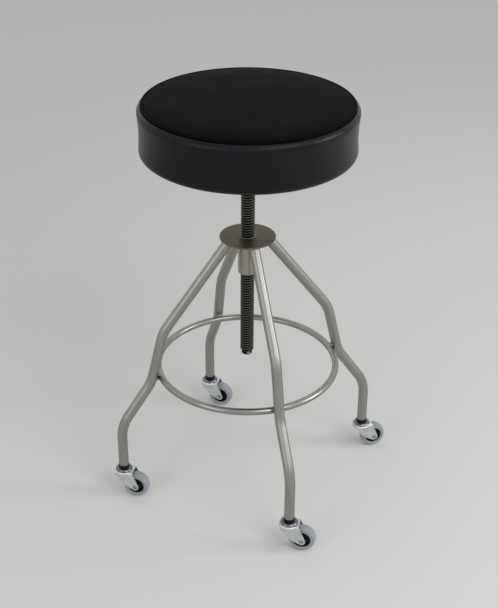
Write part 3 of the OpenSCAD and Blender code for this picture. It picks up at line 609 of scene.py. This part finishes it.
# the tread is an arc from its full radius in the middle to the shoulder at each side, in mm
tyre = {"width": 18.8, "shoulder": 22.4, "face": 16.3, "play": 0.05, "arcSteps": 8, "rounding": 0.7,
        "steps": 96}
wheelCore = {"rim": 18, "rimWall": 3.4, "rimDraft": 1.2, "width": 14.8, "bore": 3.275, "boss": 24.4,
             "bossWall": 3, "bossDraft": 0.6, "fillet": 0.8, "web": 2.7, "rounding": 0.35, "steps": 72}


def makeTyre(side):
    t = tyre
    w = t["width"] / 2
    drop = caster["wheel"] - t["shoulder"]
    curve = (w * w + drop * drop) / (2 * drop)
    arc = [w * k / t["arcSteps"] for k in range(-t["arcSteps"], t["arcSteps"] + 1)]
    tread = [(caster["wheel"] - curve + math.sqrt(curve * curve - z * z), z) for z in arc]
    seat = wheelCore["rim"] + t["play"]
    inner = wheelCore["width"] / 2 + t["play"]
    form = latheForm([(t["face"], -w), *tread, (t["face"], w), (t["face"], inner), (seat, inner),
                      (seat, -inner), (t["face"], -inner)], t["steps"], t["rounding"])
    return addPiece("tyre_" + side, form, moulded["greyRubber"], "wheel_" + side,
                    ["caster_" + side + "_tyre"], atAxle(side))


def makeCore(side):
    t = wheelCore
    boss = t["bore"] + t["bossWall"]
    foot = boss + t["bossDraft"]
    inside = t["rim"] - t["rimWall"]
    half = [(t["bore"], t["boss"] / 2), (boss, t["boss"] / 2), (foot, t["web"] + t["fillet"]),
            (foot + t["fillet"], t["web"]), (inside - t["rimDraft"], t["web"]), (inside, t["width"] / 2),
            (t["rim"], t["width"] / 2)]
    form = latheForm(mirrored(half), t["steps"], t["rounding"])
    return addPiece("wheelCore_" + side, form, moulded["blackNylon"], "wheel_" + side,
                    ["caster_" + side + "_core"], atAxle(side))


# the rivet's head as (radius, beyond the fork): a button in the middle, a groove and the rolled rim
axleRivet = {"fork": 14.5, "radius": 3.175, "rounding": 0.12, "steps": 48,
             "head": [(0, 1.3), (2, 1.3), (2.5, 1), (2.6, 0.3), (3.3, 0.3), (3.4, 0.9), (3.9, 0.9),
                      (4.3, 0.5), (4.3, 0.05)]}


def makeAxle(side):
    t = axleRivet
    half = [(r, t["fork"] + z) for r, z in t["head"] + [(t["radius"], 0.05)]]
    form = latheForm(mirrored(half), t["steps"], t["rounding"], False)
    return addPiece("axleRivet_" + side, form, metals["machinedSteel"], "caster_" + side,
                    ["caster_" + side + "_axle"], atAxle(side))


pressedFork = {"rounding": 0.3, "flat": 0.5, "sharp": 40}


def makeFork(side):  # the sheet-metal solid with its edges eased
    t = pressedFork
    node = "caster_" + side + "_fork"
    form = bmesh.new()
    form.from_mesh(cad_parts[node].data)
    bmesh.ops.remove_doubles(form, verts=form.verts, dist=sameSpot)
    bmesh.ops.dissolve_limit(form, angle_limit=math.radians(t["flat"]), verts=form.verts, edges=form.edges,
                             use_dissolve_boundaries=False)
    roundEdges(form, sharpEdges(form, t["sharp"]), t["rounding"])
    return addPiece("fork_" + side, form, metals["brightZinc"], "caster_" + side, [node])


for side in legTurns:
    for makeOne in (makeTyre, makeCore, makeAxle, makeFork):
        weighNormals(makeOne(side))
    # race and balls in the darkened chrome: a painted dark reflection
    dressNode("caster_" + side + "_race", metals["raceChromePaintedDark"])
    dressNode("caster_" + side + "_balls", metals["raceChromePaintedDark"])
    dressNode("caster_" + side + "_stem", metals["brightZinc"])
    dressNode("caster_" + side + "_grip", metals["machinedSteel"])
    dressNode("caster_" + side + "_socket", moulded["blackNylon"])
print("stool: casters ready")

# cushion

# the panel has a soft crown that drops faster in its outer sixth; the fold is the cover's line round the
# seam, and the wall is drawn in between the shoulder and the bottom edge
cushion = {"top": 776.6, "crown": 4, "crownSoft": 0.4, "dropFrom": 0.84, "dropPower": 1.8,
           "panelEdge": 179.5, "edgeEase": 0.9, "edgeDrop": 0.1, "panelSteps": 40,
           "fold": [(179.4, 772.2), (179.6, 771.4), (180.1, 769.8), (181, 768.4), (182.6, 767.8),
                    (184.2, 768.4)],
           "seam": 182, "seamHeight": 770.6, "darkMattPast": 2.4,
           "outer": 191.2, "shoulder": 13, "shoulderTop": 771.4, "shoulderFrom": 58, "shoulderSteps": 12,
           "draw": 2, "taper": 1, "wallSteps": 15, "bottom": 683, "bottomEdge": 10, "bottomSteps": 10,
           "turnedIn": [172, 164], "tuck": 157.5, "board": 180.55, "boardUnder": 684.15,
           "boardTop": 700.25, "boardRing": 90, "steps": 288}
# how the cover moves, in mm: the foam's swell, of which the tight band takes only a share, the gathers beside
# the seam, which wander a little, and the vinyl's slack; swell and slack start past the seam's grip
coverPlay = {"swell": 0.9, "bandShare": 0.35, "bandFrom": 3, "pucker": 0.28, "puckers": 46, "puckerAt": 9,
             "wander": 2.2, "wanderRise": 60, "wanderTurn": 9, "slack": 0.35, "slackAcross": 11,
             "slackUp": 16, "slackStart": 3, "seamGrip": 4, "seamFade": 30, "underReach": 2, "boardReach": 1}
# the trial has cells of 5 mm, holds what lies near the seam, the board and the bottom, and runs 20 frames
foamTrial = {"voxel": 5, "pinned": 7, "underReach": 6, "boardReach": 4, "last": 20, "mass": 0.4,
             "stretch": 40, "bending": 4, "pressure": 4, "near": 6}


def panelHeight(r):
    c = cushion
    share = r / c["panelEdge"]
    drop = (max(0, share - c["dropFrom"]) / (1 - c["dropFrom"])) ** c["dropPower"]
    return c["top"] - c["crown"] * (c["crownSoft"] * share ** 2 + (1 - c["crownSoft"]) * drop)


def arcPoints(at, radius, start, end, count):
    angles = [math.radians(start + (end - start) * k / count) for k in range(count + 1)]
    return [(at[0] + radius * math.cos(a), at[1] + radius * math.sin(a)) for a in angles]


def cushionForm():
    c = cushion
    out = [c["panelEdge"] * k / c["panelSteps"] for k in range(c["panelSteps"])]
    panel = [(r, panelHeight(r)) for r in out]
    last = c["panelEdge"] - c["edgeEase"]
    panel.append((last, panelHeight(last) - c["edgeDrop"]))
    low = c["bottom"] + c["bottomEdge"]
    high = c["shoulderTop"] - c["shoulder"]
    shoulder = arcPoints((c["outer"] - c["shoulder"], high), c["shoulder"], c["shoulderFrom"], 0,
                         c["shoulderSteps"])
    foot = c["outer"] - c["taper"]
    up = [k / c["wallSteps"] for k in range(c["wallSteps"] - 1, 0, -1)]
    wall = [(foot + c["taper"] * s - c["draw"] * math.sin(math.pi * s), low + (high - low) * s) for s in up]
    bottomEdge = arcPoints((foot - c["bottomEdge"], low), c["bottomEdge"], 0, -90, c["bottomSteps"])
    under = [(r, c["bottom"]) for r in c["turnedIn"] + [c["tuck"]]]
    under += [(c["tuck"], c["boardUnder"]), (c["board"], c["boardUnder"])]
    under += [(r, c["boardTop"]) for r in (c["board"], c["boardRing"], 0)]
    return latheForm(panel + c["fold"] + shoulder + wall + bottomEdge + under, c["steps"], ring=False)


def isHeld(r, z, reaches):  # whether a point lies at the board, or near the bottom of the cushion
    c = cushion
    reach = reaches["boardReach"]
    return z < c["bottom"] + reaches["underReach"] or (z < c["boardTop"] + reach and r < c["board"] + reach)


def fromSeam(r, z):
    return math.hypot(r - cushion["seam"], z - cushion["seamHeight"])


def swellOf(form):  # how the foam pushes the cover out, found on a coarser copy
    t = foamTrial
    mesh = bpy.data.meshes.new("cushionTrial")
    form.to_mesh(mesh)
    trial = bpy.data.objects.new("cushionTrial", mesh)
    scene.collection.objects.link(trial)
    remesh = trial.modifiers.new("remesh", "REMESH")
    remesh.mode = "VOXEL"
    remesh.voxel_size = t["voxel"] * mm
    bpy.context.view_layer.update()
    ready = bpy.data.meshes.new_from_object(trial.evaluated_get(bpy.context.evaluated_depsgraph_get()))
    trial.modifiers.clear()
    trial.data = ready
    rest = [v.co.copy() for v in ready.vertices]
    held = trial.vertex_groups.new(name="held")
    for v in ready.vertices:
        r = v.co.xy.length / mm
        z = v.co.z / mm
        fixed = fromSeam(r, z) < t["pinned"] or isHeld(r, z, t)
        held.add([v.index], 1.0 if fixed else 0.0, "REPLACE")
    cloth = trial.modifiers.new("cloth", "CLOTH")
    cloth.settings.quality = 6
    cloth.settings.mass = t["mass"]
    cloth.settings.tension_stiffness = t["stretch"]
    cloth.settings.compression_stiffness = t["stretch"]
    cloth.settings.bending_stiffness = t["bending"]
    cloth.settings.use_pressure = True
    cloth.settings.uniform_pressure_force = t["pressure"]
    cloth.settings.vertex_group_mass = "held"
    cloth.settings.pin_stiffness = 1
    cloth.settings.effector_weights.gravity = 0
    cloth.point_cache.frame_start = 1
    cloth.point_cache.frame_end = t["last"]
    for number in range(1, t["last"] + 1):
        scene.frame_set(number)
    swollen = trial.evaluated_get(bpy.context.evaluated_depsgraph_get()).to_mesh()
    moves = [v.co - r for v, r in zip(swollen.vertices, rest)]
    scene.frame_set(1)
    tree = kdtree.KDTree(len(rest))
    for i, co in enumerate(rest):
        tree.insert(co, i)
    tree.balance()
    bpy.data.objects.remove(trial)
    return tree, moves


def pushAt(swell, place):  # the move of the trial's nearest points, never more than the swell allowed
    tree, moves = swell
    push = Vector()
    total = 0
    for co, i, gap in tree.find_n(place, foamTrial["near"]):
        weight = 1 / (gap + 0.1 * mm)
        push += moves[i] * weight
        total += weight
    push /= total
    limit = coverPlay["swell"] * mm
    return push * (limit / push.length) if push.length > limit else push


def makeCushion():
    c = cushion
    t = coverPlay
    form = cushionForm()
    swell = swellOf(form)
    form.normal_update()
    for v in form.verts:
        r = v.co.xy.length / mm
        z = v.co.z / mm
        if isHeld(r, z, t):
            continue
        away = fromSeam(r, z)
        free = min(1, max(0, (away - t["seamGrip"]) / t["seamFade"]))
        push = pushAt(swell, v.co) * free if swell and free > 0 else Vector()
        if z < c["seamHeight"] - t["bandFrom"]:
            push *= t["bandShare"]
        turn = math.atan2(v.co.y, v.co.x)
        wander = noise.noise(Vector((math.cos(turn) * t["wander"], math.sin(turn) * t["wander"],
                                     z / t["wanderRise"])))
        drawn = max(0, 1 - abs(away - t["puckerAt"]) / t["puckerAt"])
        ripple = math.sin(turn * t["puckers"] + wander * t["wanderTurn"]) * (0.5 + 0.5 * wander)
        slow = noise.noise(Vector((v.co.x * t["slackAcross"], v.co.y * t["slackAcross"],
                                   v.co.z * t["slackUp"] + t["slackStart"])))
        v.co += push + v.normal * mm * (t["pucker"] * drawn * ripple + t["slack"] * free * slow)
    for face in form.faces:  # the panel takes the darker matt copy, painted shade, as far as the far side of the seam
        middle = face.calc_center_median()
        onPanel = middle.xy.length < (c["seam"] + c["darkMattPast"]) * mm and middle.z > c["boardTop"] * mm
        face.material_index = 1 if onPanel else 0
    piece = addPiece("seatCushion", form, vinyls["embossedVinyl"], "seat",
                     ["seat_foam", "seat_top_panel", "seat_boxing"])
    piece.data.materials.append(vinyls["panelVinylPaintedShade"])


welt = {"radius": 2.4, "sides": 20, "steps": 288}


def makeWelt():  # the covered cord in the seam
    form = bmesh.new()
    loop = bmesh.ops.create_circle(form, cap_ends=False, radius=welt["radius"] * mm,
                                   segments=welt["sides"])["verts"]
    bmesh.ops.rotate(form, verts=loop, cent=(0, 0, 0), matrix=Matrix.Rotation(math.pi / 2, 3, "X"))
    bmesh.ops.translate(form, verts=loop, vec=(cushion["seam"] * mm, 0, cushion["seamHeight"] * mm))
    bmesh.ops.spin(form, geom=form.verts[:] + form.edges[:], cent=(0, 0, 0), axis=(0, 0, 1),
                   angle=2 * math.pi, steps=welt["steps"], use_merge=True)
    bmesh.ops.recalc_face_normals(form, faces=form.faces)
    # the welt is in the panel's darker copy of the vinyl: painted shade
    addPiece("seatWelt", form, vinyls["panelVinylPaintedShade"], "seat", ["seat_welt"])


makeCushion()
makeWelt()
dressNode("seat_board", plywood)
print("stool: cushion ready")

# underside

dustCover = {"bore": 67.5, "radius": 171.5, "under": 682.5, "top": 683, "steps": 144, "rows": 14, "sag": 0.5,
             "longWaves": 28, "shortWaves": 70}
staples = {"count": 40, "radius": 165, "length": 10, "wire": 1.1, "thick": 0.55, "height": 682.3,
           "rounding": 0.15}


def makeDustCover():
    t = dustCover
    span = t["radius"] - t["bore"]
    lower = [(t["bore"] + span * k / t["rows"], t["under"]) for k in range(t["rows"] + 1)]
    form = latheForm(lower + [(t["radius"], t["top"]), (t["bore"], t["top"])], t["steps"])
    for v in form.verts:
        if v.co.z < (t["under"] + t["top"]) / 2 * mm:  # the lower face sags between its edges
            share = min(1, max(0, (v.co.xy.length / mm - t["bore"]) / span))
            wave = noise.noise(v.co * t["longWaves"]) + 0.5 * noise.noise(v.co * t["shortWaves"])
            v.co.z -= t["sag"] * mm * math.sin(math.pi * share) * (0.6 + 0.6 * wave)
    addPiece("dustCover", form, cambric, "seat", ["dust_cover"])


def makeStaples():
    t = staples
    form = bmesh.new()
    wire = bmesh.ops.create_cube(form, size=1)["verts"]
    bmesh.ops.scale(form, verts=wire, vec=(t["wire"] * mm, t["length"] * mm, t["thick"] * mm))
    roundEdges(form, form.edges[:], t["rounding"], 1)
    bmesh.ops.translate(form, verts=form.verts, vec=(t["radius"] * mm, 0, t["height"] * mm))
    bmesh.ops.spin(form, geom=everythingIn(form), cent=(0, 0, 0), axis=(0, 0, 1),
                   angle=2 * math.pi * (1 - 1 / t["count"]), steps=t["count"] - 1, use_duplicate=True)
    bmesh.ops.recalc_face_normals(form, faces=form.faces)
    addPiece("coverStaples", form, metals["galvanisedWire"], "seat")


makeDustCover()
makeStaples()
print("stool: underside ready")

# floor, light and camera

floor = {"size": 14, "colour": "#E7E7E5", "rough": 0.9, "gloss": 0.1}  # matt photo paper


def makeFloor():
    form = bmesh.new()
    bmesh.ops.create_grid(form, x_segments=1, y_segments=1, size=floor["size"] / 2)
    paper = finishMaterial(startMaterial("paperFloor"),
                           {"Base Color": srgb(floor["colour"]), "Roughness": floor["rough"],
                            "Specular IOR Level": floor["gloss"]})
    addObject("studioFloor", form, paper)


# white light on the stool, and a pale backdrop where the camera and its reflections look past it
studio = {"light": 0.5, "backdrop": "#E4E5E6"}


def makeStudio():
    world = bpy.data.worlds.new("studio")
    scene.world = world
    world.use_nodes = True
    world.node_tree.nodes.clear()
    rays = addNode(world, "ShaderNodeLightPath")
    seen = addNode(world, "ShaderNodeMath", {0: rays.outputs["Is Camera Ray"],
                                             1: rays.outputs["Is Glossy Ray"]}, operation="MAXIMUM")
    seen = addNode(world, "ShaderNodeMath", {0: seen.outputs[0], 1: rays.outputs["Is Transmission Ray"]},
                   operation="MAXIMUM")
    soft = addNode(world, "ShaderNodeBackground", {"Color": (1, 1, 1, 1), "Strength": studio["light"]})
    pale = addNode(world, "ShaderNodeBackground", {"Color": srgb(studio["backdrop"]), "Strength": 1})
    chosen = addNode(world, "ShaderNodeMixShader", {0: seen.outputs[0], 1: soft.outputs[0],
                                                    2: pale.outputs[0]})
    addNode(world, "ShaderNodeOutputWorld", {"Surface": chosen.outputs[0]})


# side and the lamps' turns are in degrees, yaw, pitch and roll in radians, distances in metres, lens in mm
photoCamera = {"side": -18.58, "back": 1.93496, "height": 1.4799, "yaw": 0.001724, "pitch": 0.517404,
               "roll": 0.0082, "lens": 70.93, "sensor": 36, "picture": (498, 608)}
# lamps stand round the stool as the camera sees it: 0 is toward the camera, 90 to its right
lamps = {"key": {"turn": 84, "rise": 19, "away": 2.9, "size": 1.05, "power": 20},
         "front": {"turn": 36, "rise": 40, "away": 3, "size": 1.7, "power": 23},
         "left": {"turn": -42, "rise": 18, "away": 2.9, "size": 1.3, "power": 8}}
lampTarget = Vector((0, 0, 0.45))


def placeLamp(name):
    lamp = lamps[name]
    data = bpy.data.lights.new(name + "Lamp", "AREA")
    data.shape = "SQUARE"
    data.size = lamp["size"]
    data.energy = lamp["power"]
    turn = math.radians(lamp["turn"] - 90 + photoCamera["side"])
    rise = math.radians(lamp["rise"])
    away = Vector((math.cos(turn) * math.cos(rise), math.sin(turn) * math.cos(rise), math.sin(rise)))
    light = bpy.data.objects.new(name + "Lamp", data)
    light.location = lampTarget + away * lamp["away"]
    light.rotation_euler = away.to_track_quat("Z", "Y").to_euler()
    scene.collection.objects.link(light)


def placeCamera():
    c = photoCamera
    forward = Vector((math.sin(c["yaw"]) * math.cos(c["pitch"]), math.cos(c["yaw"]) * math.cos(c["pitch"]),
                      -math.sin(c["pitch"])))
    level = Vector((math.cos(c["yaw"]), -math.sin(c["yaw"]), 0))
    up = level.cross(forward)
    right = level * math.cos(c["roll"]) + up * math.sin(c["roll"])
    above = up * math.cos(c["roll"]) - level * math.sin(c["roll"])
    turn = Matrix((right, above, -forward)).transposed().to_4x4()
    width, height = c["picture"]
    data = bpy.data.cameras.new("photoCamera")
    data.sensor_fit = "VERTICAL"
    data.sensor_height = c["sensor"]
    data.sensor_width = c["sensor"] * width / height
    data.lens = c["lens"]
    camera = bpy.data.objects.new("photoCamera", data)
    camera.matrix_world = (Matrix.Rotation(math.radians(c["side"]), 4, "Z")
                           @ Matrix.Translation((0, -c["back"], c["height"])) @ turn)
    scene.collection.objects.link(camera)
    scene.camera = camera


makeFloor()
makeStudio()
for name in lamps:
    placeLamp(name)
placeCamera()
scene.view_settings.view_transform = "Standard"
